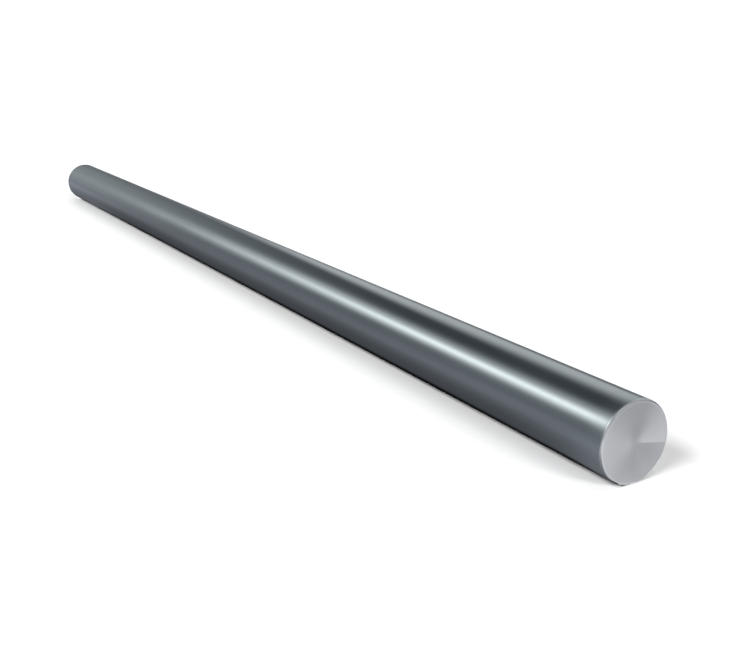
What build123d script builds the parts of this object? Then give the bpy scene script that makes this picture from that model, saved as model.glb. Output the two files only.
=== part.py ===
from build123d import *
import os

# Stainless steel round bar: one straight length of solid round stock, lying on its side.
#
# Frame: millimetres, +Z up. X runs along the bar, and +X points at the end that faces the camera.
# The origin is the middle of the bar's axis, so the bar touches the floor at Z = -DIAMETER / 2.

# Driving dimensions
DIAMETER = 45.0  # bright round stock
LENGTH = 1000.0  # a one metre cut, end face to end face
EDGE_RADIUS = 1.5  # rounding turned on the edge of both ends

RADIUS = DIAMETER / 2
HALF = LENGTH / 2

# The half section in the XZ plane, from the axis out to the surface. Its two outer corners are rounded.
# Turning it once round the X axis gives the whole bar as a single solid.
section = [
    (-HALF, 0.0),
    (HALF, 0.0),
    (HALF, RADIUS),
    (-HALF, RADIUS),
]

with BuildPart() as bar:
    with BuildSketch(Plane.XZ) as half_section:
        with BuildLine():
            Polyline(*section, close=True)
        make_face()
        fillet(half_section.vertices().group_by(Axis.Y)[-1], radius=EDGE_RADIUS)
    revolve(axis=Axis.X, revolution_arc=360)

round_bar = bar.part.solid()
round_bar.label = "round_bar"

os.makedirs("parts", exist_ok=True)
export_step(round_bar, "parts/round_bar.step")

box = round_bar.bounding_box()
print("size mm", round(box.size.X, 3), round(box.size.Y, 3), round(box.size.Z, 3))
print("volume cm3", round(round_bar.volume / 1000, 2))
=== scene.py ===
"""A stainless steel round bar lying on a white floor, lit by a long soft key light on the camera's side."""

import math

import bmesh
import bpy
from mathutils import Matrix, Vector


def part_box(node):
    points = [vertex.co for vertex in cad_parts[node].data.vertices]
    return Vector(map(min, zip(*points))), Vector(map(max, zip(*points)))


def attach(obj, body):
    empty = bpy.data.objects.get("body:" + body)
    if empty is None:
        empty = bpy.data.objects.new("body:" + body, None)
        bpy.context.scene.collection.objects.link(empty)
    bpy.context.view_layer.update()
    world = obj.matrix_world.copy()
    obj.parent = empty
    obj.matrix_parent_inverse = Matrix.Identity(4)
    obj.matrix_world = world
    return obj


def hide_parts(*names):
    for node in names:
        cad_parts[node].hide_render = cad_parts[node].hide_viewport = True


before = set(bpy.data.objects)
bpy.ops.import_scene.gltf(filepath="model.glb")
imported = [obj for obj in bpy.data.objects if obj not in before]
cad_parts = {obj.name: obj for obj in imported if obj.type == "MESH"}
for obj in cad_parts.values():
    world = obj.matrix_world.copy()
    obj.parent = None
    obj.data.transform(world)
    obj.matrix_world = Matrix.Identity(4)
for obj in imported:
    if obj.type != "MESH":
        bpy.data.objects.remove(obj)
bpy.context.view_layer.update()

low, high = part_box("round_bar")
RADIUS = high.z  # the bar's axis is the row's X axis
HALF = high.x
ROUND = 0.0015  # radius of the rounded edge at both ends
SEGMENTS = 256
SHEET = 0.440  # side of the square sheet that the surface is laid out on
FLOOR_Z = -RADIUS

scene = bpy.context.scene


# ---------------------------------------------------------------- node helpers
class Graph:
    """Short names for the maths nodes of one node tree. A number or a socket goes in, a socket comes out."""

    def __init__(self, tree):
        self.tree = tree

    def node(self, kind, **settings):
        n = self.tree.nodes.new(kind)
        for key, value in settings.items():
            setattr(n, key, value)
        return n

    def put(self, socket, value):
        if isinstance(value, bpy.types.NodeSocket):
            self.tree.links.new(value, socket)
        else:
            socket.default_value = value

    def math(self, operation, *values, clamp=False):
        n = self.node("ShaderNodeMath", operation=operation, use_clamp=clamp)
        for i, v in enumerate(values):
            self.put(n.inputs[i], v)
        return n.outputs[0]

    def add(self, a, b):
        return self.math("ADD", a, b)

    def sub(self, a, b):
        return self.math("SUBTRACT", a, b)

    def mul(self, a, b):
        return self.math("MULTIPLY", a, b)

    def rise(self, value, start, end):
        """0 before start and 1 after end, with a smooth step between."""
        n = self.node("ShaderNodeMapRange", interpolation_type="SMOOTHSTEP")
        self.put(n.inputs["Value"], value)
        n.inputs["From Min"].default_value = start
        n.inputs["From Max"].default_value = end
        return n.outputs["Result"]

    def fall(self, value, start, end):
        return self.sub(1.0, self.rise(value, start, end))

    def span(self, value, low, high, to_low, to_high):
        n = self.node("ShaderNodeMapRange")
        self.put(n.inputs["Value"], value)
        n.inputs["From Min"].default_value = low
        n.inputs["From Max"].default_value = high
        n.inputs["To Min"].default_value = to_low
        n.inputs["To Max"].default_value = to_high
        return n.outputs["Result"]

    def bell(self, value, middle, width, power=2.0):
        """exp(-|(value - middle) / width|^power)"""
        t = self.math("ABSOLUTE", self.math("DIVIDE", self.sub(value, middle), width))
        return self.math("EXPONENT", self.mul(self.math("POWER", t, power), -1.0))

    def mix(self, factor, a, b):
        n = self.node("ShaderNodeMix", data_type="RGBA", blend_type="MIX")
        self.put(n.inputs[0], factor)
        self.put(n.inputs[6], a)
        self.put(n.inputs[7], b)
        return n.outputs[2]

    def scaled(self, colour, factor):
        """A colour times a number socket."""
        n = self.node("ShaderNodeVectorMath", operation="SCALE")
        self.put(n.inputs[0], colour)
        self.put(n.inputs["Scale"], factor)
        return n.outputs[0]

    def plus(self, a, b):
        n = self.node("ShaderNodeVectorMath", operation="ADD")
        self.put(n.inputs[0], a)
        self.put(n.inputs[1], b)
        return n.outputs[0]

    def split(self, vector):
        n = self.node("ShaderNodeSeparateXYZ")
        self.put(n.inputs[0], vector)
        return n.outputs[0], n.outputs[1], n.outputs[2]

    def join(self, x, y, z):
        n = self.node("ShaderNodeCombineXYZ")
        for i, v in enumerate((x, y, z)):
            self.put(n.inputs[i], v)
        return n.outputs[0]

    def noise(self, vector, scale, detail=2.0, roughness=0.5):
        n = self.node("ShaderNodeTexNoise")
        self.put(n.inputs["Vector"], vector)
        n.inputs["Scale"].default_value = scale
        n.inputs["Detail"].default_value = detail
        n.inputs["Roughness"].default_value = roughness
        return n.outputs["Fac"]


def degrees_of(g, y, x):
    """The angle of (x, y), in degrees from -180 to 180."""
    return g.mul(g.math("ARCTAN2", y, x), 180 / math.pi)


# ---------------------------------------------------------------- the bar
def profile():
    """(x, r) of the turned outline, from the middle of the +X face to the middle of the -X face."""
    face = [0.0, 0.15, 0.3, 0.45, 0.6, 0.72, 0.82, 0.9, 0.96]
    flat = RADIUS - ROUND
    half = [(HALF, f * flat) for f in face]
    half.append((HALF, flat - 0.0003))
    for i in range(11):
        t = math.radians(9 * i)
        half.append((HALF - ROUND + ROUND * math.cos(t), flat + ROUND * math.sin(t)))
    half.append((HALF - ROUND - 0.0006, RADIUS))
    half.append((HALF - 0.006, RADIUS))
    side = [HALF * (1 - 2 * i / 30) for i in range(1, 30)]
    return half + [(x, RADIUS) for x in side] + [(-x, r) for x, r in reversed(half)]


def laid_out(x, r, turn, third):
    """Where a point goes on the square sheet of the surface: the side in three lengths, one above the other, and
    the two ends beside them. A turn of 0 or 1 is the underside, where the side is slit. third is None on an end."""
    round_it = 2 * math.pi * RADIUS
    if third is not None:
        across = 0.004 + HALF * (1 - 2 * third / 3) - x
        return across / SHEET, (0.004 + third * (round_it + 0.004) + turn * round_it) / SHEET
    flat = RADIUS - ROUND
    out = r
    if r > flat:
        out = flat + ROUND * math.asin(min((r - flat) / ROUND, 1.0))
    out *= 1.95
    a = 2 * math.pi * turn
    middle = 0.060 if x > 0 else 0.170
    return (0.387 + out * math.cos(a)) / SHEET, (middle + out * math.sin(a)) / SHEET


def turned_bar():
    outline = profile()
    mesh = bpy.data.meshes.new("round_bar_turned")
    bm = bmesh.new()
    sheet = bm.loops.layers.uv.new("OFBake")
    rings = []
    for x, r in outline:
        if r < 1e-9:
            rings.append([bm.verts.new((x, 0, 0))])
            continue
        ring = []
        for i in range(SEGMENTS):
            a = 2 * math.pi * i / SEGMENTS
            ring.append(bm.verts.new((x, r * math.cos(a), r * math.sin(a))))
        rings.append(ring)
    for j in range(len(rings) - 1):
        one, two = rings[j], rings[j + 1]
        on_side = outline[j][1] > RADIUS - 1e-9 and outline[j + 1][1] > RADIUS - 1e-9
        for i in range(SEGMENTS):
            n = (i + 1) % SEGMENTS
            if len(one) == 1:
                corners = (one[0], two[i], two[n])
            elif len(two) == 1:
                corners = (one[i], two[0], one[n])
            else:
                corners = (one[i], two[i], two[n], one[n])
            f = bm.faces.new(corners)
            third = None
            if on_side:
                third = min(2, max(0, int((HALF - (outline[j][0] + outline[j + 1][0]) / 2) / (2 * HALF / 3))))
            k = (i - SEGMENTS * 3 // 4) % SEGMENTS
            for loop in f.loops:
                at = loop.vert.co
                turn = k + 0.5
                if loop.vert in (one[i % len(one)], two[i % len(two)]):
                    turn = k
                if loop.vert in (one[n % len(one)], two[n % len(two)]) and loop.vert not in (one[i % len(one)], two[i % len(two)]):
                    turn = k + 1
                loop[sheet].uv = laid_out(at.x, math.hypot(at.y, at.z), turn / SEGMENTS, third)
            on_face = min(outline[j][1], outline[j + 1][1]) < RADIUS - ROUND - 1e-9
            f.material_index = 0 if on_side else 1 if on_face else 2
            f.smooth = True
    bmesh.ops.recalc_face_normals(bm, faces=bm.faces)
    bm.to_mesh(mesh)
    bm.free()
    ob = bpy.data.objects.new("round_bar_turned", mesh)
    scene.collection.objects.link(ob)
    return ob


# ---------------------------------------------------------------- its steel
def steel_side():
    """Ground bright bar: fine marks round the bar, soft reflections, hardly any colour of its own."""
    m = bpy.data.materials.new("stainless_ground")
    m.use_nodes = True
    g = Graph(m.node_tree)
    p = m.node_tree.nodes["Principled BSDF"]
    at = g.node("ShaderNodeTexCoord").outputs["Object"]
    x, y, z = g.split(at)

    # grinding marks: narrow along the bar, long round it
    marks = g.noise(g.join(g.mul(x, 900.0), g.mul(y, 22.0), g.mul(z, 22.0)), 1.0, 4.0, 0.6)
    # draw lines: long along the bar, narrow round it
    lines = g.noise(g.join(g.mul(x, 6.0), g.mul(y, 420.0), g.mul(z, 420.0)), 1.0, 3.0, 0.55)
    # slow clouding of the finish
    cloud = g.noise(g.join(g.mul(x, 14.0), g.mul(y, 30.0), g.mul(z, 30.0)), 1.0, 2.0, 0.5)

    tone = g.add(g.span(marks, 0.3, 0.7, -0.012, 0.012), g.span(lines, 0.3, 0.7, -0.014, 0.014))
    tone = g.add(tone, g.span(cloud, 0.3, 0.7, -0.016, 0.016))
    base = g.scaled((0.555, 0.615, 0.635), g.add(1.0, tone))
    g.put(p.inputs["Base Color"], base)
    p.inputs["Metallic"].default_value = 1.0
    rough = g.add(g.span(cloud, 0.3, 0.7, 0.19, 0.22), g.span(lines, 0.3, 0.7, -0.012, 0.012))
    # duller where the ends were cut and the edges rounded
    along = g.math("ABSOLUTE", x)
    worn = g.add(g.mul(g.rise(along, HALF - 0.8 * RADIUS, HALF), 0.07), g.mul(g.rise(along, HALF - 0.17 * RADIUS, HALF - 0.07 * RADIUS), 0.05))
    g.put(p.inputs["Roughness"], g.add(rough, worn))

    bump = g.node("ShaderNodeBump")
    bump.inputs["Strength"].default_value = 0.25
    bump.inputs["Distance"].default_value = 0.00002
    g.put(bump.inputs["Height"], g.add(g.mul(marks, 0.6), g.mul(lines, 0.4)))
    g.put(p.inputs["Normal"], bump.outputs["Normal"])
    return m


def steel_end():
    """A face turned on a lathe: rings round the middle, so that light spreads outwards from it. Its base colour also
    carries a painted reflection: lighter and darker sectors round the middle.
    """
    m = bpy.data.materials.new("stainless_faced")
    m.use_nodes = True
    g = Graph(m.node_tree)
    p = m.node_tree.nodes["Principled BSDF"]
    at = g.node("ShaderNodeTexCoord").outputs["Object"]
    x, y, z = g.split(at)
    r = g.math("SQRT", g.add(g.mul(y, y), g.mul(z, z)))

    # rings of the facing cut, about 0.35 mm apart, uneven
    rings = g.noise(g.join(g.mul(r, 2600.0), g.mul(y, 14.0), g.mul(z, 14.0)), 1.0, 3.0, 0.6)
    cloud = g.noise(g.join(g.mul(x, 40.0), g.mul(y, 90.0), g.mul(z, 90.0)), 1.0, 2.0, 0.5)

    tone = g.add(g.span(rings, 0.3, 0.7, -0.02, 0.02), g.span(cloud, 0.3, 0.7, -0.015, 0.015))
    # painted reflection: the face's colour is brightest just above one radius, where a sharp line runs, and fades
    # round from it through lighter and darker sectors
    turn = g.math("WRAP", g.add(degrees_of(g, z, y), 11.5), 360.0, 0.0)
    painted_sheen = g.sub(0.32, g.add(g.mul(g.rise(turn, 0.0, 26.0), 0.09), g.mul(g.rise(turn, 14.0, 90.0), 0.345)))
    painted_sheen = g.add(painted_sheen, g.mul(g.rise(turn, 88.0, 190.0), 0.275))
    painted_sheen = g.sub(painted_sheen, g.mul(g.rise(turn, 195.0, 258.0), 0.175))
    painted_sheen = g.add(painted_sheen, g.mul(g.bell(turn, 304.0, 20.0), 0.09))
    painted_sheen = g.mul(painted_sheen, g.rise(r, 0.02 * RADIUS, 0.24 * RADIUS))
    # painted highlight: on its other side, and low on the right, the face's colour is lighter outwards
    painted_rim_light = g.sub(g.mul(g.mul(r, r), 0.14 / RADIUS ** 2), 0.05)
    painted_sheen = g.add(painted_sheen, g.mul(painted_rim_light, g.rise(turn, 140.0, 172.0)))
    painted_sheen = g.add(painted_sheen, g.mul(g.bell(turn, 296.0, 34.0), g.mul(g.rise(r, 0.45 * RADIUS, RADIUS), 0.13)))
    base = g.scaled((0.68, 0.69, 0.715), g.add(1.0, g.add(painted_sheen, tone)))
    g.put(p.inputs["Base Color"], base)
    p.inputs["Metallic"].default_value = 1.0
    g.put(p.inputs["Roughness"], g.span(rings, 0.3, 0.7, 0.36, 0.42))
    p.inputs["Anisotropic"].default_value = 0.75
    g.put(p.inputs["Tangent"], g.join(0.0, y, z))

    bump = g.node("ShaderNodeBump")
    bump.inputs["Strength"].default_value = 0.3
    bump.inputs["Distance"].default_value = 0.00003
    g.put(bump.inputs["Height"], rings)
    g.put(p.inputs["Normal"], bump.outputs["Normal"])
    return m


def steel_edge():
    """The rounded edge: cut like the face, with finer rings. Its base colour is lighter than the side's steel, which
    paints its reflection brighter.
    """
    m = bpy.data.materials.new("stainless_edge")
    m.use_nodes = True
    g = Graph(m.node_tree)
    p = m.node_tree.nodes["Principled BSDF"]
    at = g.node("ShaderNodeTexCoord").outputs["Object"]
    x, y, z = g.split(at)
    rings = g.noise(g.join(g.mul(x, 9000.0), g.mul(y, 14.0), g.mul(z, 14.0)), 1.0, 2.0, 0.5)
    # painted shade: the edge's colour is a little darker round about -32 degrees, where its reflection is darker
    tone = g.sub(1.0, g.mul(g.bell(degrees_of(g, z, y), -32.0, 26.0), 0.16))
    base = g.scaled((0.83, 0.85, 0.87), g.add(tone, g.span(rings, 0.3, 0.7, -0.02, 0.02)))
    g.put(p.inputs["Base Color"], base)
    p.inputs["Metallic"].default_value = 1.0
    g.put(p.inputs["Roughness"], g.span(rings, 0.3, 0.7, 0.26, 0.33))
    return m


bar = turned_bar()
bar.data.materials.append(steel_side())
bar.data.materials.append(steel_end())
bar.data.materials.append(steel_edge())
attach(bar, "root")
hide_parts("round_bar")


# ---------------------------------------------------------------- floor
def floor():
    """A white floor. Glossy rays see a painted reflection in its place: a glowing colour, dimmer than the floor, with
    painted shade beside the bar.
    """
    mesh = bpy.data.meshes.new("floor")
    s = 30.0
    mesh.from_pydata([(-s, -s, FLOOR_Z), (s, -s, FLOOR_Z), (s, s, FLOOR_Z), (-s, s, FLOOR_Z)], [], [(0, 1, 2, 3)])
    ob = bpy.data.objects.new("floor", mesh)
    scene.collection.objects.link(ob)
    m = bpy.data.materials.new("floor_white")
    m.use_nodes = True
    m.cycles.emission_sampling = "NONE"
    g = Graph(m.node_tree)
    m.node_tree.nodes.remove(m.node_tree.nodes["Principled BSDF"])
    out = m.node_tree.nodes["Material Output"]
    at = g.node("ShaderNodeTexCoord").outputs["Object"]
    x, y, z = g.split(at)
    # painted reflection, which glows for glossy rays only: black where the bar rests (a painted shadow), grey beside
    # it, and lighter towards both of its ends
    across = g.math("ABSOLUTE", y)
    opening = g.rise(x, HALF - 1.8 * RADIUS, HALF - 0.3 * RADIUS)
    inner = g.sub(0.60 * RADIUS, g.mul(opening, 0.13 * RADIUS))
    middle = g.mul(g.rise(x, -HALF + 8 * RADIUS, -HALF + 14 * RADIUS), g.fall(x, HALF - 7 * RADIUS, HALF - 3 * RADIUS))
    inner = g.add(inner, g.mul(middle, 0.05 * RADIUS))
    inner = g.sub(inner, g.mul(g.fall(x, -HALF + 2 * RADIUS, -HALF + 10 * RADIUS), 0.08 * RADIUS))
    gap = g.add(0.14 * RADIUS, g.mul(opening, 0.06 * RADIUS))
    beside = g.mul(g.rise(g.math("DIVIDE", g.sub(across, inner), gap), 0.0, 1.0), 0.065)
    beside = g.add(beside, g.mul(g.rise(across, 0.4 * RADIUS, 3.6 * RADIUS), 0.141))
    fan = g.math("DIVIDE", g.sub(-HALF + 11.5 * RADIUS, x), g.add(g.mul(across, 1.2), 0.4 * RADIUS))
    fanned = g.add(1.25, g.mul(g.rise(y, 0.0, 0.5 * RADIUS), 0.8))
    far = g.add(1.0, g.mul(g.rise(fan, 0.2, 7.3), fanned))
    near = g.add(1.0, g.mul(g.rise(x, HALF - 16 * RADIUS, HALF - 4 * RADIUS), 0.10))
    near = g.add(near, g.mul(g.rise(x, HALF - 4.5 * RADIUS, HALF - 1.5 * RADIUS), 0.36))
    closest = g.mul(g.rise(x, HALF - 2.4 * RADIUS, HALF), g.sub(1.45, g.mul(g.rise(across, 0.7 * RADIUS, 2.0 * RADIUS), 0.5)))
    closest = g.mul(closest, g.sub(1.0, g.mul(g.rise(x, HALF - 0.45 * RADIUS, HALF - 0.05 * RADIUS), 0.7)))
    near = g.add(near, closest)
    behind = g.add(0.02, g.mul(g.fall(x, -HALF - 4.0 * RADIUS, 0.0), 1.08))
    behind = g.add(1.0, g.mul(g.rise(y, 1.5 * RADIUS, 6.5 * RADIUS), behind))
    shaded = g.mul(g.rise(g.add(x, g.mul(y, 0.9)), HALF - 19.5 * RADIUS, HALF - 8.0 * RADIUS), g.rise(y, 1.5 * RADIUS, 5.0 * RADIUS))
    shaded = g.mul(shaded, g.fall(y, 16.0 * RADIUS, 34.0 * RADIUS))
    behind = g.mul(behind, g.sub(1.0, g.mul(shaded, 0.30)))
    beside = g.mul(beside, g.mul(behind, g.mul(far, near)))
    wide = g.mul(g.rise(across, 2.2 * RADIUS, 6.0 * RADIUS), g.fall(x, -5 * RADIUS, 10 * RADIUS))
    beside = g.mul(beside, g.sub(1.0, g.mul(wide, 0.09)))
    # painted reflection: lighter past the near end, with its edge slanting away on the camera's side
    brink = g.sub(g.mul(g.rise(y, -0.45 * RADIUS, -0.2 * RADIUS), 0.34 * RADIUS), 0.10 * RADIUS)
    slanted = g.mul(g.math("MAXIMUM", g.sub(g.mul(y, -1.0), 0.8 * RADIUS), 0.0), 0.8)
    brink = g.sub(brink, g.math("MINIMUM", slanted, 0.75 * RADIUS))
    brink = g.add(brink, g.mul(g.rise(y, 0.0, 0.4 * RADIUS), 0.2 * RADIUS))
    beyond = g.rise(g.add(x, brink), HALF - 0.10 * RADIUS, HALF + 0.08 * RADIUS)
    level = g.sub(1.0, g.mul(g.mul(g.rise(y, 0.0, 0.5 * RADIUS), g.fall(x, HALF + 0.1 * RADIUS, HALF + 0.6 * RADIUS)), 0.24))
    level = g.add(level, g.mul(g.fall(y, -1.4 * RADIUS, -0.7 * RADIUS), 0.14))
    painted_reflection_colour = g.mix(beyond, g.scaled((0.97, 1.0, 1.10), beside), g.scaled((0.610, 0.615, 0.625), level))

    # painted shadow: the floor's colour is nearly black along the line where the bar rests, where hardly any light
    # gets
    end = g.add(g.math("ABSOLUTE", x), g.mul(g.rise(y, -0.06 * RADIUS, 0.06 * RADIUS), 0.10 * RADIUS))
    painted_contact_shadow = g.mul(g.fall(across, 0.20 * RADIUS, 0.32 * RADIUS), g.fall(end, HALF - 0.09 * RADIUS, HALF))
    diffuse = g.node("ShaderNodeBsdfDiffuse")
    g.put(diffuse.inputs["Color"], g.mix(painted_contact_shadow, (0.8, 0.8, 0.8, 1), (0.03, 0.03, 0.03, 1)))
    # painted reflection: glossy rays see this glow, not the diffuse floor
    painted_reflection_glow = g.node("ShaderNodeEmission")
    g.put(painted_reflection_glow.inputs["Color"], painted_reflection_colour)
    either = g.node("ShaderNodeMixShader")
    g.put(either.inputs[0], g.node("ShaderNodeLightPath").outputs["Is Glossy Ray"])
    m.node_tree.links.new(diffuse.outputs[0], either.inputs[1])
    m.node_tree.links.new(painted_reflection_glow.outputs[0], either.inputs[2])
    m.node_tree.links.new(either.outputs[0], out.inputs["Surface"])
    mesh.materials.append(m)
    return ob


floor()


# ---------------------------------------------------------------- light
def sun(name, elevation, azimuth, angle, irradiance):
    """A far soft light for the floor. Azimuth 0 is the side of -Y, the camera's, and 90 is +X."""
    e, a = math.radians(elevation), math.radians(azimuth)
    towards = Vector((math.sin(a) * math.cos(e), -math.cos(a) * math.cos(e), math.sin(e)))
    data = bpy.data.lights.new(name, "SUN")
    data.angle = math.radians(angle)
    # so that the light adds this much to the floor's irradiance
    data.energy = irradiance / math.sin(e)
    ob = bpy.data.objects.new(name, data)
    ob.rotation_euler = towards.to_track_quat("Z", "Y").to_euler()
    ob.visible_glossy = False
    scene.collection.objects.link(ob)
    return ob


TOTAL = 1.21 * math.pi / 0.8  # an open floor renders a little over white
sun("key_front", 34, 15, 26, 0.305 * TOTAL)
sun("front_high", 42, -5, 18, 0.180 * TOTAL)
sun("past_end_low", 24, 100, 18, 0.145 * TOTAL)
sun("past_end", 34, 80, 26, 0.125 * TOTAL)
sun("past_end_high", 74, 100, 18, 0.035 * TOTAL)
sun("back", 52, 170, 18, 0.110 * TOTAL)
sun("far_end", 22, 260, 34, 0.100 * TOTAL)


def studio():
    """What the bar mirrors: a dark studio with one long soft strip on the camera's side and a broad panel behind."""
    world = bpy.data.worlds.new("studio")
    scene.world = world
    world.use_nodes = True
    world.cycles_visibility.diffuse = False
    tree = world.node_tree
    g = Graph(tree)
    back = tree.nodes["Background"]
    d = g.node("ShaderNodeTexCoord").outputs["Generated"]
    dx, dy, dz = g.split(d)
    # psi: the angle round the bar, 0 level behind it, 90 straight up, 180 level on the camera's side
    psi = degrees_of(g, dz, dy)
    psi = g.math("WRAP", psi, 270.0, -90.0)
    # alpha: the angle from the nearer end of the bar's axis
    alpha = g.mul(g.math("ARCCOSINE", g.math("ABSOLUTE", dx)), 180 / math.pi)

    # The room is dark overhead and grey at the camera's side, and each of them runs into a lighter end wall.
    overhead = g.mix(g.rise(psi, 5.0, 78.0), (0.185, 0.196, 0.204, 1), (0.345, 0.372, 0.379, 1))
    overhead = g.mix(g.fall(alpha, 10.0, 36.0), (0.0545, 0.0595, 0.0700, 1), overhead)
    front = g.mix(g.fall(alpha, 13.0, 24.0), (0.166, 0.180, 0.197, 1), (0.370, 0.400, 0.425, 1))
    front = g.scaled(front, g.sub(1.0, g.mul(g.bell(alpha, 31.0, 8.0), 0.13)))
    room = g.mix(g.rise(psi, 148.0, 166.0), overhead, front)

    # the panel behind, with a slanted end
    lift = g.rise(alpha, 36.0, 50.0)
    panel = g.mul(g.rise(psi, 2.0, 18.0), g.fall(g.sub(psi, lift), 35.5, 74.0))
    slant = g.add(g.mul(psi, 0.10), g.mul(g.math("MAXIMUM", g.sub(psi, 36.0), 0.0), 0.12))
    slant = g.add(slant, g.mul(g.math("MAXIMUM", g.sub(20.0, psi), 0.0), 0.08))
    panel = g.mul(panel, g.rise(g.sub(alpha, slant), 19.3, 29.3))
    panel = g.mul(panel, g.sub(1.0, g.mul(g.rise(dx, -0.4, 0.1), g.add(0.25, g.mul(g.fall(psi, 25.0, 45.0), 0.15)))))
    # the key strip, softer below and towards its ends, and a weaker glow above it
    ending = g.fall(alpha, 23.0, 40.0)
    width = g.add(9.5, g.add(g.mul(g.rise(psi, 132.0, 146.0), 3.0), g.mul(ending, 5.6)))
    strip = g.mul(g.bell(psi, g.sub(136.1, g.mul(ending, 1.8)), width, 1.5), g.rise(alpha, 18.3, 39.0))
    strip = g.mul(strip, g.fall(psi, 151.0, 170.0))
    glow = g.mul(g.bell(psi, 116.0, 9.5), g.mul(g.rise(alpha, 19.0, 28.0), g.add(0.83, g.mul(g.fall(alpha, 32.0, 44.0), 0.14))))
    dome = g.mul(g.bell(psi, 98.0, 9.0), g.mul(g.rise(alpha, 18.0, 22.0), g.fall(alpha, 27.0, 40.0)))
    # past the near end the strip is dimmer, and a broad soft light takes its place
    dimmer = g.sub(1.0, g.mul(g.rise(dx, -0.5, 0.25), 0.8))
    strip = g.mul(strip, dimmer)
    glow = g.mul(glow, dimmer)
    soft = g.mul(g.mul(g.rise(dx, -0.55, 0.3), g.rise(psi, 40.0, 80.0)), g.fall(psi, 155.0, 190.0))
    soft = g.mul(soft, g.sub(1.0, g.mul(g.bell(psi, 130.0, 18.0), 0.85)))
    soft = g.mul(soft, g.add(1.0, g.mul(g.bell(psi, 97.0, 13.0), 0.15)))
    light = g.plus(room, g.scaled((0.510, 0.520, 0.510), panel))
    light = g.plus(light, g.scaled((1.74, 1.76, 1.74), strip))
    light = g.plus(light, g.scaled((0.230, 0.240, 0.240), glow))
    light = g.plus(light, g.scaled((0.037, 0.040, 0.043), dome))
    light = g.plus(light, g.scaled((0.400, 0.405, 0.415), soft))

    camera = g.node("ShaderNodeLightPath").outputs["Is Camera Ray"]
    g.put(back.inputs["Color"], g.mix(camera, light, (1.1, 1.1, 1.1, 1)))
    back.inputs["Strength"].default_value = 1.0


studio()

# ---------------------------------------------------------------- camera
data = bpy.data.cameras.new("camera")
data.sensor_width = 36.0
data.lens = 982.967 / 750 * 36.0
data.clip_start, data.clip_end = 0.01, 100.0
camera = bpy.data.objects.new("camera", data)
camera.location = (HALF + 14.0726 * RADIUS, -15.0127 * RADIUS, 8.6550 * RADIUS)
yaw, pitch = math.radians(149.183), math.radians(-16.800)
ahead = Vector((math.cos(pitch) * math.cos(yaw), math.cos(pitch) * math.sin(yaw), math.sin(pitch)))
camera.rotation_euler = ahead.to_track_quat("-Z", "Y").to_euler()
scene.collection.objects.link(camera)
scene.camera = camera

scene.view_settings.view_transform = "Standard"
scene.view_settings.look = "None"
scene.cycles.use_denoising = True
